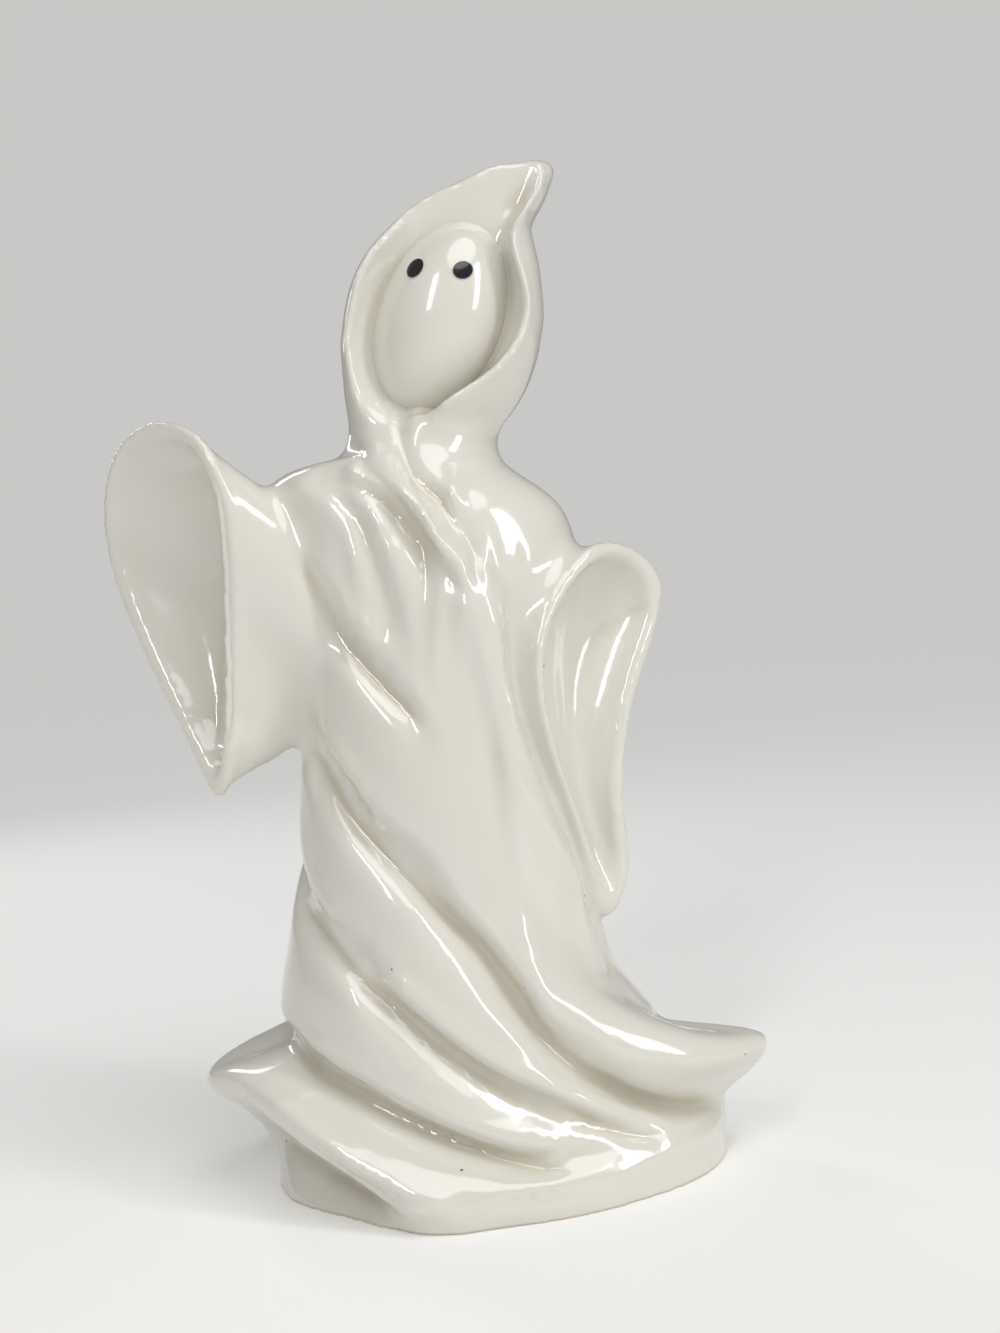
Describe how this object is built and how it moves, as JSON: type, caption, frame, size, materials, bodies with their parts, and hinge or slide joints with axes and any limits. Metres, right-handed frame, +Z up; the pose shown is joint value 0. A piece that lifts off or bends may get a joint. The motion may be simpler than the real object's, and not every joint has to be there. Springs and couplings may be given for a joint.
{
  "type": "ceramic ghost figure",
  "caption": "Glazed slip-cast ghost in a hooded, draped robe with open bell sleeves and a curling hem, hollow inside, that stands on a shelf as an ornament.",
  "frame": {"origin": "on the surface it stands on, under the middle of the figure's overall width and depth", "axes": "+Z up; the face looks along -Y; +X is to the right of someone who looks at the face"},
  "size_m": [0.19, 0.1003, 0.304],
  "materials": {
    "glaze": "high-gloss ivory glaze",
    "bare_foot": "ivory glaze on the sides, wiped bare where it stands",
    "eye_black": "gloss black glaze"
  },
  "bodies": {
    "root": {"foot": "bare_foot", "robe": "glaze", "hood": "glaze", "face": "glaze", "right_sleeve": "glaze", "left_sleeve": "glaze", "right_eye": "eye_black", "left_eye": "eye_black"}
  },
  "joints": []
}
